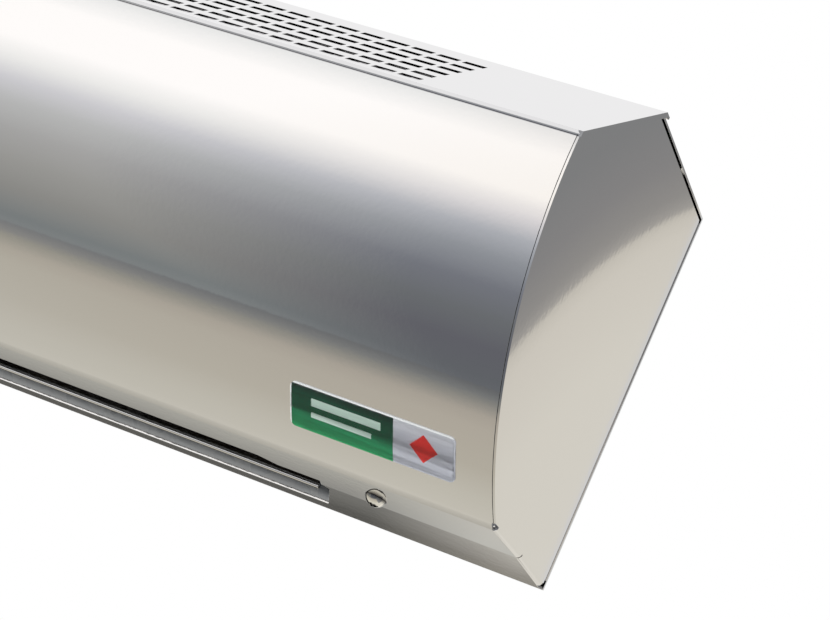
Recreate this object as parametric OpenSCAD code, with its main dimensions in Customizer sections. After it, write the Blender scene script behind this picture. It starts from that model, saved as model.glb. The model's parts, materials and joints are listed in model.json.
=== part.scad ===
// Compact wall-mounted air curtain in bright stainless sheet.
// x runs along the unit. The section is drawn as [y, z]: y is 0 on the wall and negative to the front,
// z is 0 at the lower rear corner. The model's origin is the centre of the wall face.

/* [Casing] */
// Length over the end plates
body_len = 800; // [700:10:1200]
// Height of the wall side
back_h = 172; // [165:1:185]
// Depth of the ridge between the top and the intake face
ridge_y = 76.5; // [70:0.5:84]
// Height of the ridge
ridge_h = 189.5; // [186:0.5:196]
// Depth of the curved front's upper edge
brow_y = 135; // [131:0.5:139]
// Height of the curved front's upper edge
brow_h = 156; // [151:0.5:160]
// Depth of the crease below the curved front
crease_y = 63.5; // [61:0.5:67]
// Height of the crease above the lower rear corner
crease_h = 8; // [6.6:0.2:9.4]
// Depth of the shallow bend in the underside
bend_y = 33; // [29:0.5:37]
// Height of the shallow bend
bend_h = 4.8; // [3.8:0.1:5.6]
// Radius of the curved front
front_r = 169; // [156:1:186]

/* [Sheets] */
// Thickness of the stainless casing sheet
sheet_t = 1; // [0.8:0.1:1.2]
// Thickness of the inner partitions and brackets
frame_t = 1.2; // [1:0.1:1.5]
// Thickness of the air guide sheets
guide_t = 0.8; // [0.6:0.1:1]
// Outside radius of the bend between the underside and the end plates
bend_r = 2; // [1.6:0.1:2.6]
// Gap in the seam between the curved front and the end plates
seam = 0.3; // [0.2:0.05:0.5]
// Gap between the top flange and the end plates
top_gap = 1.5; // [1:0.1:2]
// Width of the folded flanges
flange_w = 12; // [10:0.5:14]
// Clearance around round seats that don't turn
seat_gap = 0.05; // [0.03:0.01:0.1]
// Radial clearance of round parts that turn
running_gap = 0.05; // [0.03:0.01:0.08]
// Clearance between sheets that pass each other
pass_gap = 0.3; // [0.2:0.05:0.4]

/* [Intake grille] */
// Number of slot rows
slot_rows = 6; // [4:1:6]
// Length of a slot
slot_len = 10.4; // [8:0.2:10.8]
// Width of a slot
slot_w = 4; // [3:0.25:4.5]
// Pitch of the slots along the unit
slot_pitch = 12.7; // [12:0.1:14]
// Pitch of the slot rows
row_pitch = 10; // [8:0.1:10.2]
// Distance from the last slot row to the grille's front edge
row_margin = 4.4; // [3:0.2:6]
// Least blank length at each end of the grille
grille_blank = 77; // [60:1:100]
// Height of the grille's end rims
rim_h = 2.4; // [2:0.2:3]
// Height of the grille's front lip
lip_h = 1.8; // [1.4:0.1:2.4]
// How far the front lip is set off from the curved front, along the intake face
lip_gap = 0.6; // [0.3:0.1:1]
// Length of the grille's rear lip
rear_lip = 5; // [4:0.5:7]

/* [Outlet] */
// Distance from the end of the unit to the outlet opening
outlet_end = 97; // [94:1:102]
// Distance from the wall to the outlet's rear edge
outlet_rear = 7.5; // [6:0.5:9]
// Distance from the wall to the outlet's front edge
outlet_front = 42; // [40:0.5:44]
// How far the front edge steps back near the ends
outlet_step = 4; // [3:0.5:6]
// Length of the stepped part at each end
step_len = 30; // [24:1:36]
// How much shorter the outlet's rear edge is at each end
end_slant = 8.5; // [6:0.5:12]
// Distance from the wall to the outermost corner of the outlet's slanted end
nook_y = 30; // [28:0.5:32]
// Distance from the wall to the guide vane
vane_y = 20; // [18:0.5:24]
// Height of the vane's pivot
vane_z = 18; // [17:0.5:20]
// Height of the vane's blade
vane_h = 25; // [22:0.5:26]
// Thickness of the vane
vane_t = 1.2; // [1:0.1:1.5]
// Thickness of the vane's hemmed lower edge
hem_t = 2.4; // [2:0.1:3]
// Distance from the outlet's end to the vane's end
vane_end_gap = 9; // [8:0.5:14]
// Diameter of the vane's pins
pin_d = 4; // [3:0.5:5]
// Length of the vane's end barrels
barrel_len = 16; // [12:1:22]

/* [Fan] */
// Depth of the rotor's axis
rotor_y = 62; // [60:0.5:64]
// Height of the rotor's axis
rotor_z = 106; // [104:0.5:108]
// Diameter of the rotor
rotor_d = 80; // [74:1:82]
// Number of blades
blade_count = 26; // [18:1:30]
// Depth of the blades
blade_w = 11; // [9:0.5:12]
// Radius of a blade's curve
blade_r = 9; // [8:0.5:12]
// Thickness of a blade
blade_t = 0.8; // [0.6:0.1:1]
// Number of rotor bays between discs
rotor_bays = 4; // [3:1:6]
// Thickness of a rotor disc
disc_t = 1.5; // [1:0.1:2]
// Gap between the rotor and the partitions
rotor_end_gap = 6; // [5:0.5:8]
// Gap between the rotor and the scroll
scroll_gap = 8; // [7:0.5:9]
// Gap between the rotor and the tongue's nose
tongue_gap = 3.5; // [3:0.5:5]
// Radius of the tongue's nose
nose_r = 2.5; // [2:0.25:3]
// Diameter of the shafts
shaft_d = 8; // [6:0.5:10]
// Diameter of the rotor hubs
hub_d = 24; // [20:1:28]
// Length of the rotor hubs
hub_len = 18; // [14:1:24]
// Diameter of the idle bush
bush_d = 14; // [12.5:0.5:16]
// Length of the idle bush
bush_len = 10; // [8:0.5:12]
// Wall of the rubber ring around the idle bush
rubber_t = 5; // [4:0.5:6]
// Wall of the bush housing
housing_t = 2; // [1.5:0.25:3]

/* [Motor] */
// Diameter of the motor
motor_d = 76; // [66:1:80]
// Length of the motor
motor_len = 46; // [38:1:46]
// Height of the motor bracket above the partition
bracket_h = 14; // [12:0.5:16]
// Width of the motor bracket
bracket_w = 60; // [50:1:66]
// Thickness of the motor's rubber ring
ring_t = 3; // [2:0.5:4]
// Diameter of the motor's boss
boss_d = 26; // [22:1:30]
// Diameter of the capacitor
cap_d = 28; // [24:1:32]
// Length of the capacitor
cap_len = 44; // [36:1:48]

/* [Heater] */
// Height of the heating element
heater_z = 45; // [43:0.5:47]
// Diameter of the heating rods
heat_rod_d = 8.5; // [6.5:0.5:9]
// Pitch of the heating rods
heat_pitch = 13; // [12.5:0.5:14]
// Number of support plates
support_count = 3; // [2:1:4]
// Height of a support plate
support_h = 18; // [16:0.5:18.5]
// Diameter of the ceramic bushes
ceramic_d = 11.5; // [11:0.25:12]
// Diameter of the thermal cut-out
cutout_d = 15; // [12:0.5:16]

/* [Electrics] */
// Length of the terminal block
block_len = 40; // [36:1:44]
// Number of terminals
terminals = 4; // [3:1:4]
// Width of the control board
board_w = 44; // [40:1:46]
// Height of the control board
board_h = 58; // [50:1:60]
// Height of the stand-offs
standoff_h = 8; // [6:0.5:10]
// Diameter of the wiring loom
loom_d = 5; // [4:0.5:5.5]
// Depth of the loom from the wall
loom_y = 8; // [7.8:0.1:8.4]
// Height of the loom
loom_z = 112; // [108:0.5:114]
// Radius of the cable grommet's bore
inlet_r = 6; // [4:0.5:7]
// Diameter of the hole for the cable grommet
inlet_hole_d = 19; // [18:0.5:22]
// Diameter of the short wires
wire_d = 2.6; // [2:0.2:3]

/* [Wall holes] */
// Distance between the wall holes along the unit
wall_pitch_x = 760; // [700:2:760]
// Distance between the upper and lower wall holes
wall_pitch_z = 120; // [110:1:126]
// Diameter of the wall holes
wall_hole_d = 6.5; // [5:0.5:7]

/* [Badge and screws] */
// Length of the badge
badge_len = 79.5; // [60:0.5:82]
// Height of the badge
badge_h = 21; // [14:0.5:22.5]
// Distance from the end of the unit to the badge
badge_end = 18.7; // [16:0.1:26]
// Distance along the front from the crease to the badge
badge_rise = 17; // [14:0.5:22]
// Corner radius of the badge
badge_r = 2.5; // [1.5:0.25:4]
// Thickness of the printed film
film_t = 0.4; // [0.3:0.05:0.6]
// Thickness of the resin dome
dome_t = 1.2; // [0.8:0.1:1.6]
// Head diameter of the front screws
head_d = 10; // [8.5:0.25:11]
// Head height of the front screws
head_h = 3.8; // [3:0.1:4.4]
// Shank diameter of the front screws
screw_d = 4.8; // [4:0.2:5.4]
// Distance from the end of the unit to a front screw
screw_end = 66; // [62:0.5:70]
// Distance from the crease to a front screw
screw_in = 19.5; // [17:0.5:22]
// Shank diameter of the small inner screws
small_screw_d = 4; // [3:0.25:4.25]
// Diameter of the end plate rivets
rivet_d = 3.2; // [2.8:0.1:4]

/* [Hidden] */
$fn = 96;
// An inset that leaves a side of the section open
open = -40;
// Length of what runs past a cut
over = 1;
half = body_len / 2;
low_rear = [0, 0];
high_rear = [0, back_h];
ridge = [-ridge_y, ridge_h];
brow = [-brow_y, brow_h];
crease = [-crease_y, crease_h];
bend = [-bend_y, bend_h];

function dir(angle) = [cos(angle), sin(angle)];
function unit(v) = v / norm(v);
function left(v) = [-v[1], v[0]];
function angle_of(v) = atan2(v[1], v[0]);
function cross2(a, b) = a[0] * b[1] - a[1] * b[0];
function mid(a, b) = (a + b) / 2;
// The line from p to q, moved to its left, which is inwards on the section
function inner_line(p, q, d) = [p + left(unit(q - p)) * d, q + left(unit(q - p)) * d];
function meet(a, b) =
    let (u = a[1] - a[0], v = b[1] - b[0])
    a[0] + u * cross2(b[0] - a[0], v) / cross2(u, v);
// The corner q between p and r, moved inwards off both edges
function inner_corner(p, q, r, d) =
    let (a = left(unit(q - p)), n = unit(a + left(unit(r - q))))
    q + n * d / (n * a);
// The point on the line from p to q at the height z
function at_height(p, q, z) = p + (q - p) * (z - p[1]) / (q[1] - p[1]);
// Points along an arc
function arc(c, r, from, to, steps) = [for (i = [0 : steps]) c + dir(from + (to - from) * i / steps) * r];
// Where the line from a point touches a circle, on the circle's right
function tangent_from(p, c, r) =
    let (d = norm(c - p))
    p + dir(angle_of(c - p) - asin(r / d)) * sqrt(d * d - r * r);

// Centre of the curved front, on the inner side of the chord from brow to crease
chord = crease - brow;
front_centre = mid(brow, crease) + left(unit(chord)) * sqrt(front_r * front_r - chord * chord / 4);

part_x = half - outlet_end + 2;
part_out = part_x + frame_t;
panel_half = half - sheet_t - seam;
panel_brow = sheet_t + pass_gap;
lip_edge = brow + unit(brow - ridge) * (sheet_t + lip_gap);
part_brow = panel_brow + sheet_t + pass_gap;
upstand_h = 10;
foot_w = 34;
foot_front = 3;
part_flange_w = 15;
rotor_c = [-rotor_y, rotor_z];
rotor_r = rotor_d / 2;
rotor_half = part_x - rotor_end_gap;
scroll_r = rotor_r + scroll_gap;
scroll_foot = [-outlet_rear, 0];
scroll_touch = tangent_from(scroll_foot, rotor_c, scroll_r);
scroll_low = angle_of(scroll_touch - rotor_c);
scroll_high = 84;
tongue_foot = [-outlet_front - over, 0];
nose = rotor_c + dir(240) * (rotor_r + tongue_gap + nose_r);
duct_front = at_height(tongue_foot, nose, heater_z);
duct_rear = at_height(scroll_foot, scroll_touch, heater_z);
heater_y = mid(duct_front, duct_rear)[0];
heat_r = heat_rod_d / 2;
shaft_r = shaft_d / 2;
bush_r = bush_d / 2;
rubber_r = bush_r + rubber_t;
housing_r = rubber_r + housing_t;
bracket_x = part_out + bracket_h;
motor_x = bracket_x + frame_t + ring_t;
vane_c = [-vane_y, vane_z];
vane_low = vane_z - (vane_h - 11);
vane_half = half - outlet_end - vane_end_gap;
barrel_r = pin_d / 2 + 1.5;
pin_r = pin_d / 2;
vane_bush_r = pin_r + 2;
board_x = part_out + part_flange_w + 4;
board_z = 98;
block_x = part_out + part_flange_w + 2;
block_z = 56;
block_h = 20;
block_d = 18;
inlet = [half - 55, 28];
wall_side = -sheet_t;

// Extrudes a section from x0 to x1
module run(x0, x1) {
    translate([x0, 0, -back_h / 2])
        rotate([90, 0, 90])
            linear_extrude(x1 - x0) children();
}

// Puts children at x and at the section's point p
module place(x, p) {
    translate([x, p[0], p[1] - back_h / 2]) children();
}

// A round bar along x
module bar(x0, x1, p, r) {
    place(x0, p) rotate([0, 90, 0]) cylinder(h = x1 - x0, r = r);
}

// A round bar from depth y0 forwards to depth y1, square to the wall
module peg(x, z, y0, y1, r) {
    place(x, [-y0, z]) rotate([90, 0, 0]) cylinder(h = y1 - y0, r = r);
}

// A box given by its low and high corners, in x and the section's y and z
module block(low, high) {
    translate([low[0], low[1], low[2] - back_h / 2]) cube(high - low);
}

// Lays children on an edge of the section: y along it from p to q, z inwards
module on_edge(p, q) {
    place(0, p) rotate([angle_of(q - p), 0, 0]) children();
}

module both_ends() {
    children();
    mirror([1, 0, 0]) children();
}

// The section, moved in at its wall side, top, intake face, front and underside
module section(i) {
    rear = inner_line(low_rear, high_rear, open);
    top = inner_line(high_rear, ridge, i[1]);
    face = inner_line(ridge, brow, i[2]);
    under_front = inner_line(crease, bend, i[4]);
    under_rear = inner_line(bend, low_rear, i[4]);
    reach = 120;
    intersection() {
        translate(front_centre) circle(front_r - i[3], $fn = 240);
        translate([-2 * brow_y - i[0], -brow_h]) square([2 * brow_y, 3 * brow_h]);
        polygon([
            meet(under_rear, rear),
            meet(rear, top),
            meet(top, face),
            face[1] + unit(brow - ridge) * reach,
            under_front[0] + unit(crease - bend) * reach,
            inner_corner(crease, bend, low_rear, i[4])
        ]);
    }
}

// What lies in the section i but not in the section j
module layer(i, j) {
    difference() {
        section(i);
        section(j);
    }
}

module front_panel_section() {
    layer([-wall_side, 0, panel_brow, 0, 0], [open, open, open, sheet_t, sheet_t]);
    difference() {
        layer([0, 0, panel_brow, 0, 0], [open, open, panel_brow + sheet_t, open, open]);
        section([open, open, open, flange_w, open]);
    }
    intersection() {
        layer([-wall_side, 0, 0, 0, 0], [-wall_side + sheet_t, open, open, open, open]);
        translate([-ridge_y, 0]) square([ridge_y, upstand_h]);
    }
}

// The outlet's outline seen from above, for the end at +x
module outlet_outline() {
    end_x = half - outlet_end;
    step_x = end_x - step_len;
    nook = 1.5;
    polygon([
        [-over, -outlet_rear],
        [end_x - end_slant, -outlet_rear],
        [end_x + nook, -nook_y],
        [end_x - nook, -nook_y - 2 * nook],
        [end_x, outlet_step - outlet_front],
        [step_x + 2 * outlet_step, outlet_step - outlet_front],
        [step_x, -outlet_front],
        [-over, -outlet_front]
    ]);
}

module front_panel() {
    color("silver")
        difference() {
            run(-panel_half, panel_half) front_panel_section();
            both_ends() place(0, [0, -over]) linear_extrude(crease_h + 3) outlet_outline();
            both_ends()
                run(half - bend_r, half)
                    layer([open, open, open, -over, -over], [open, open, open, open, bend_r]);
            both_ends()
                block(
                    [half - bend_r - pass_gap, wall_side - bend_r - pass_gap, sheet_t],
                    [half, wall_side + over, upstand_h + over]
                );
            both_ends() front_screw_hole(screw_d / 2 + seat_gap);
        }
}

// The hole through the underside for the front screw at +x
module front_screw_hole(r) {
    on_edge(crease, bend)
        translate([half - screw_end, screw_in, -over]) cylinder(h = 2 * over + sheet_t + frame_t, r = r);
}

module back_plate() {
    color("lightgray")
        difference() {
            union() {
                run(-half, half)
                    layer([0, 0, sheet_t + pass_gap, 0, 0], [sheet_t, open, open, open, open]);
                run(-half, half)
                    layer([0, 0, sheet_t + pass_gap, 0, 0], [open, sheet_t, open, open, open]);
            }
            wall_holes();
            peg(inlet[0], inlet[1], -over, sheet_t + over, inlet_hole_d / 2);
            both_ends() partition_screw_points() peg_hole(small_screw_d / 2 + seat_gap);
            both_ends() rivet_points() peg_hole(rivet_d / 2 + seat_gap);
            board_points() peg_hole(small_screw_d / 2 + seat_gap);
        }
}

// A hole through sheets on the wall side, at the current point
module peg_hole(r) {
    translate([0, over, 0]) rotate([90, 0, 0]) cylinder(h = 2 * over + 2 * frame_t + sheet_t, r = r);
}

module wall_holes() {
    for (x = [-1, 1], z = [-1, 1])
        translate([x * wall_pitch_x / 2, 0, z * wall_pitch_z / 2]) peg_hole(wall_hole_d / 2);
}

module partition_screw_points() {
    for (z = [30, back_h - 30]) place(part_out + part_flange_w / 2, [0, z]) children();
}

module rivet_points() {
    for (z = [40, back_h / 2, back_h - 40]) place(half - sheet_t - flange_w / 2, [0, z]) children();
}

module board_points() {
    for (x = [5, board_w - 5], z = [5, board_h - 5]) place(board_x + x, [0, board_z + z]) children();
}

// The grille's cross-section: the intake face, the lip folded down over the front and the rear lip
module grille_section() {
    face = inner_line(ridge, brow, sheet_t);
    top = inner_line(high_rear, ridge, 0);
    top_up = inner_line(high_rear, ridge, -sheet_t);
    down = left(unit(brow - front_centre));
    back = left(down);
    rear_end = ridge - unit(ridge - high_rear) * rear_lip;
    up = -left(unit(ridge - high_rear)) * sheet_t;
    polygon([
        meet(top_up, [ridge, brow]),
        lip_edge,
        lip_edge + down * lip_h,
        lip_edge + down * lip_h + back * sheet_t,
        meet([lip_edge + back * sheet_t, lip_edge + down + back * sheet_t], face),
        meet(top, face),
        rear_end,
        rear_end + up
    ]);
}

// The cross-section of the grille's end rims
module rim_section() {
    down = left(unit(brow - front_centre)) * rim_h;
    polygon([ridge, lip_edge, lip_edge + down, meet(inner_line(ridge, brow, rim_h), [high_rear, ridge])]);
}

module intake_grille() {
    face_w = norm(lip_edge - ridge);
    columns = floor((body_len - 2 * grille_blank + slot_pitch - slot_len) / slot_pitch);
    grid_len = (columns - 1) * slot_pitch + slot_len;
    grid_w = (slot_rows - 1) * row_pitch + slot_w;
    lid_half = half + pass_gap + sheet_t;
    color("lavender")
        difference() {
            union() {
                run(-lid_half, lid_half) grille_section();
                both_ends() run(half + pass_gap, lid_half) rim_section();
            }
            on_edge(ridge, brow)
                for (column = [0 : columns - 1], row = [0 : slot_rows - 1])
                    translate([
                        column * slot_pitch - grid_len / 2,
                        face_w - row_margin - grid_w + row * row_pitch,
                        -over
                    ])
                        cube([slot_len, slot_w, sheet_t + 2 * over]);
        }
}

// One bent edge of the end plate at +x, between two distances along the underside's edge from p to q
module end_bend(p, q, start, stop) {
    middle = [half - bend_r, bend_r];
    leg = 2 * bend_r;
    on_edge(p, q)
        translate([0, stop, 0])
            rotate([90, 0, 0])
                linear_extrude(stop - start)
                    polygon(concat(
                        arc(middle, bend_r, -90, 0, 12),
                        [[half, leg], [half - sheet_t, leg]],
                        arc(middle, bend_r - sheet_t, 0, -90, 12)
                    ));
}

// The bend at the rear edge of the end plate at +x, between two heights
module rear_bend(low, high) {
    middle = [half - bend_r, wall_side - bend_r];
    leg = wall_side - 2 * bend_r;
    translate([0, 0, low - back_h / 2])
        linear_extrude(high - low)
            polygon(concat(
                arc(middle, bend_r, 0, 90, 12),
                arc(middle, bend_r - sheet_t, 90, 0, 12),
                [[half - sheet_t, leg], [half, leg]]
            ));
}

module end_plate() {
    notch = 0.6;
    corner_cut = 4;
    color("gainsboro")
        difference() {
            union() {
                run(half - sheet_t, half)
                    difference() {
                        section([sheet_t + bend_r, sheet_t + top_gap, sheet_t, 0, bend_r]);
                        rotate(45) square(corner_cut * sqrt(2), center = true);
                    }
                end_bend(crease, bend, notch, norm(bend - crease) - notch / 2);
                end_bend(bend, low_rear, notch / 2, norm(bend) - corner_cut);
                rear_bend(corner_cut, back_h - sheet_t - top_gap);
                block(
                    [half - flange_w - sheet_t, wall_side - sheet_t, upstand_h + 6],
                    [half - bend_r, wall_side, back_h - 8]
                );
            }
            rivet_points() peg_hole(rivet_d / 2 + seat_gap);
        }
}

module end_plate_left() {
    mirror([1, 0, 0]) end_plate();
}

module end_plate_right() {
    end_plate();
}

module partition() {
    difference() {
        union() {
            run(part_x, part_out)
                section([sheet_t, sheet_t + seat_gap, part_brow, sheet_t + pass_gap, sheet_t]);
            block(
                [part_out, wall_side - frame_t, upstand_h + 6],
                [part_out + part_flange_w, wall_side, back_h - 12]
            );
            run(part_out, part_out + foot_w)
                layer([14, 0, 0, foot_front, sheet_t], [open, open, open, open, sheet_t + frame_t]);
        }
        block(
            [part_x - over, wall_side - sheet_t - pass_gap, 0],
            [part_out + over, wall_side + over, upstand_h + pass_gap]
        );
        partition_screw_points() peg_hole(small_screw_d / 2 + seat_gap);
        front_screw_hole(screw_d / 2 + seat_gap);
        bar(part_x - over, part_out + over, vane_c, vane_bush_r + seat_gap);
        bar(part_x - over, part_out + over, [-loom_y, loom_z], loom_d / 2 + 1.5 + seat_gap);
    }
}

module partition_left() {
    color("darkgray")
        mirror([1, 0, 0])
            difference() {
                partition();
                bar(part_x - over, part_out + over, rotor_c, boss_d / 2 + 2);
                bracket_points() bar_hole();
            }
}

module partition_right() {
    color("darkgray")
        difference() {
            partition();
            bar(part_x - over, part_out + over, rotor_c, rubber_r - housing_t);
            for (i = [0 : 3]) bar(part_x - over, part_out + over, rod_point(i), ceramic_d / 2 - 1 + seat_gap);
            cutout_point() translate([-over, 0, 0]) rotate([0, 90, 0]) cylinder(h = 9, r = cutout_d / 2 - 2);
        }
}

// A hole along x through the partition, at the current point
module bar_hole() {
    translate([-over, 0, 0])
        rotate([0, 90, 0]) cylinder(h = 2 * over + 2 * frame_t, r = small_screw_d / 2 + seat_gap);
}

module scroll_sheet() {
    out_r = scroll_r + guide_t;
    foot = scroll_foot - unit(scroll_touch - scroll_foot) * 3;
    riser_y = rotor_c[0] + scroll_r * cos(scroll_high);
    out_high = acos((riser_y + guide_t - rotor_c[0]) / out_r);
    color("darkgray")
        run(-part_x, part_x)
            intersection() {
                section([sheet_t, sheet_t + seat_gap, sheet_t, sheet_t, sheet_t]);
                polygon(concat(
                    [foot],
                    arc(rotor_c, scroll_r, scroll_low, scroll_high, 24),
                    [[riser_y, ridge_h], [riser_y + guide_t, ridge_h]],
                    arc(rotor_c, out_r, out_high, scroll_low, 24),
                    [foot + dir(scroll_low) * guide_t]
                ));
            }
}

// A sheet drawn edge on, from p to q, with its thickness to the left or, if t is negative, to the right
module sheet_line(p, q, t) {
    n = left(unit(q - p)) * t;
    polygon(t > 0 ? [p, q, q + n, p + n] : [p + n, q + n, q, p]);
}

module tongue_sheet() {
    color("darkgray")
        run(-part_x, part_x)
            intersection() {
                section([sheet_t, sheet_t, sheet_t, sheet_t, sheet_t]);
                union() {
                    sheet_line(tongue_foot, nose, guide_t);
                    translate(nose) circle(nose_r);
                    layer(
                        [outlet_front + over, 0, 0, foot_front, sheet_t],
                        [open, open, open, open, sheet_t + guide_t]
                    );
                }
            }
}

// One blade's profile, on the +y side of the rotor's axis
module blade() {
    translate([rotor_r - blade_w / 2, -blade_r + blade_t / 2])
        intersection() {
            difference() {
                circle(blade_r);
                circle(blade_r - blade_t);
            }
            translate([-blade_w / 2 + 0.2, 0]) square([blade_w - 0.4, blade_r]);
        }
}

module rotor() {
    bay = (2 * rotor_half - disc_t) / rotor_bays;
    color("dimgray")
        difference() {
            union() {
                run(-rotor_half + disc_t / 2, rotor_half - disc_t / 2)
                    translate(rotor_c)
                        for (i = [0 : blade_count - 1]) rotate(i * 360 / blade_count) blade();
                for (i = [0 : rotor_bays])
                    bar(i * bay - rotor_half, i * bay - rotor_half + disc_t, rotor_c, rotor_r);
            }
            for (i = [1 : rotor_bays - 1])
                bar(i * bay - rotor_half - over, i * bay - rotor_half + disc_t + over, rotor_c, rotor_r - blade_w - 4);
            both_ends()
                bar(rotor_half - disc_t - over, rotor_half + over, rotor_c, hub_d / 2 + seat_gap);
        }
}

// The hub in the rotor's end at +x, with a flange on the disc's inner face
module hub() {
    difference() {
        union() {
            bar(rotor_half - hub_len, rotor_half, rotor_c, hub_d / 2);
            bar(rotor_half - disc_t - 2, rotor_half - disc_t, rotor_c, hub_d / 2 + 4);
        }
        bar(rotor_half - hub_len - over, rotor_half + over, rotor_c, shaft_r + seat_gap);
        place(rotor_half - hub_len / 2 - disc_t, rotor_c) cylinder(h = hub_d, r = 1.5);
    }
}

module drive_hub() {
    color("slategray") mirror([1, 0, 0]) hub();
}

module idle_hub() {
    color("slategray") hub();
}

module motor_shaft() {
    color("silver")
        mirror([1, 0, 0]) bar(rotor_half - hub_len, motor_x + motor_len - 10, rotor_c, shaft_r);
}

module idle_shaft() {
    color("silver") bar(rotor_half - hub_len, part_out + 2 + bush_len, rotor_c, shaft_r);
}

module idle_bush() {
    color("peru")
        difference() {
            bar(part_out + 1, part_out + 1 + bush_len, rotor_c, bush_r);
            bar(part_x, part_out + bush_len + 3, rotor_c, shaft_r + running_gap);
        }
}

module bush_rubber() {
    color("black")
        difference() {
            bar(part_out, part_out + bush_len + 2, rotor_c, rubber_r);
            bar(part_x, part_out + bush_len + 3, rotor_c, bush_r + seat_gap);
        }
}

module bush_housing() {
    depth = bush_len + 2 + seat_gap;
    color("gray")
        difference() {
            union() {
                bar(part_out, part_out + depth + housing_t, rotor_c, housing_r);
                bar(part_out, part_out + housing_t, rotor_c, housing_r + 9);
            }
            bar(part_x, part_out + depth, rotor_c, rubber_r + seat_gap);
            bar(part_x, part_out + depth + housing_t + over, rotor_c, rubber_r - housing_t);
            housing_points() bar_hole();
        }
}

module housing_points() {
    for (i = [0 : 2]) place(part_out, rotor_c + dir(90 + i * 120) * (housing_r + 5)) children();
}

module motor() {
    r = motor_d / 2;
    color("slategray")
        mirror([1, 0, 0])
            difference() {
                union() {
                    bar(motor_x, motor_x + motor_len, rotor_c, r);
                    bar(bracket_x - 2, motor_x + over, rotor_c, boss_d / 2);
                    for (i = [0 : 11])
                        place(motor_x + 8, rotor_c + dir(i * 30) * r)
                            rotate([i * 30, 0, 0]) translate([0, -2, -0.8]) cube([motor_len - 16, 3, 1.6]);
                }
                bar(bracket_x - 3, motor_x + motor_len - 9, rotor_c, shaft_r + running_gap);
                motor_points() bar_hole();
            }
}

module motor_points() {
    for (i = [0 : 3]) place(motor_x, rotor_c + dir(45 + i * 90) * (boss_d / 2 + 6)) children();
}

module motor_ring() {
    color("black")
        mirror([1, 0, 0])
            difference() {
                bar(bracket_x + frame_t, motor_x, rotor_c, boss_d / 2 + 10);
                bar(bracket_x, motor_x + over, rotor_c, boss_d / 2 + seat_gap);
                motor_points() translate([-ring_t, 0, 0]) bar_hole();
            }
}

module bracket_points() {
    for (y = [-1, 1], z = [-1, 1])
        place(part_x, rotor_c + [y * bracket_w / 4, z * (bracket_w / 2 + 6)]) children();
}

module motor_bracket() {
    w = bracket_w / 2;
    color("darkgray")
        mirror([1, 0, 0])
            difference() {
                union() {
                    block(
                        [bracket_x, -rotor_y - w, rotor_z - w],
                        [bracket_x + frame_t, -rotor_y + w, rotor_z + w]
                    );
                    for (side = [-1, 1]) {
                        leg_z = rotor_z + side * (w - frame_t / 2);
                        foot_z = rotor_z + side * (w + 6 - frame_t / 2);
                        block(
                            [part_out, -rotor_y - w, leg_z - frame_t / 2],
                            [bracket_x, -rotor_y + w, leg_z + frame_t / 2]
                        );
                        block(
                            [part_out, -rotor_y - w, foot_z - 6],
                            [part_out + frame_t, -rotor_y + w, foot_z + 6]
                        );
                    }
                }
                bar(bracket_x - over, bracket_x + frame_t + over, rotor_c, boss_d / 2 + seat_gap);
                bracket_points() bar_hole();
                motor_points() translate([-ring_t - frame_t - over, 0, 0]) bar_hole();
            }
}

module bracket_screws() {
    color("silver")
        mirror([1, 0, 0]) {
            bracket_points() bar_screw(part_out + frame_t - part_x);
            motor_points()
                translate([-ring_t - frame_t, 0, 0]) mirror([1, 0, 0]) bar_screw(0, ring_t + frame_t);
        }
    color("silver") housing_points() bar_screw(housing_t);
}

// A small screw along x: its head stands on the face at the given height and its shank reaches back
module bar_screw(face, back = 0) {
    r = small_screw_d / 2;
    rotate([0, 90, 0]) {
        translate([0, 0, face]) cylinder(h = 2, r = r + 1.4);
        translate([0, 0, -back]) cylinder(h = face + back + over, r = r);
    }
}

module capacitor() {
    color("whitesmoke")
        mirror([1, 0, 0]) {
            bar(cap_x, cap_x + cap_len, cap_c, cap_d / 2);
            for (y = [-1, 1])
                block(
                    [cap_x + cap_len, cap_c[0] + y * 4 - 0.4, cap_c[1] - 3],
                    [cap_x + cap_len + 8, cap_c[0] + y * 4 + 0.4, cap_c[1] + 3]
                );
        }
}

cap_x = part_out + part_flange_w + 2;
cap_c = [wall_side - 1.2 - cap_d / 2, 30 + cap_d / 2 - 14];

module capacitor_clip() {
    clip_x = cap_x + cap_len / 2;
    color("silver")
        mirror([1, 0, 0])
            difference() {
                union() {
                    bar(clip_x - 5, clip_x + 5, cap_c, cap_d / 2 + 1);
                    block(
                        [clip_x - 5, wall_side - 1.2, cap_c[1]],
                        [clip_x + 5, wall_side, cap_c[1] + cap_d / 2 + 9]
                    );
                }
                bar(clip_x - 6, clip_x + 6, cap_c, cap_d / 2 + seat_gap);
                block([clip_x - 6, wall_side, 0], [clip_x + 6, 5, back_h]);
            }
}

module outlet_vane() {
    top_z = vane_low + vane_h;
    color("gainsboro")
        difference() {
            union() {
                run(-vane_half, vane_half) {
                    translate([-vane_y - vane_t / 2, vane_low + hem_t / 2]) square([vane_t, vane_h - hem_t / 2]);
                    translate([-vane_y, vane_low + hem_t / 2]) circle(hem_t / 2);
                    translate([-vane_y - hem_t / 2, vane_low + hem_t / 2]) square([hem_t, 4]);
                    translate([-vane_y - 2.5, top_z - vane_t]) square([5, vane_t]);
                }
                both_ends() bar(vane_half - barrel_len, vane_half, vane_c, barrel_r);
            }
            both_ends() bar(vane_half - barrel_len - over, vane_half + over, vane_c, pin_r + seat_gap);
        }
}

module vane_pins() {
    color("goldenrod")
        both_ends() {
            bar(vane_half - barrel_len, part_out + 4, vane_c, pin_r);
            bar(vane_half + pass_gap, vane_half + pass_gap + 1.5, vane_c, barrel_r);
        }
}

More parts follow.
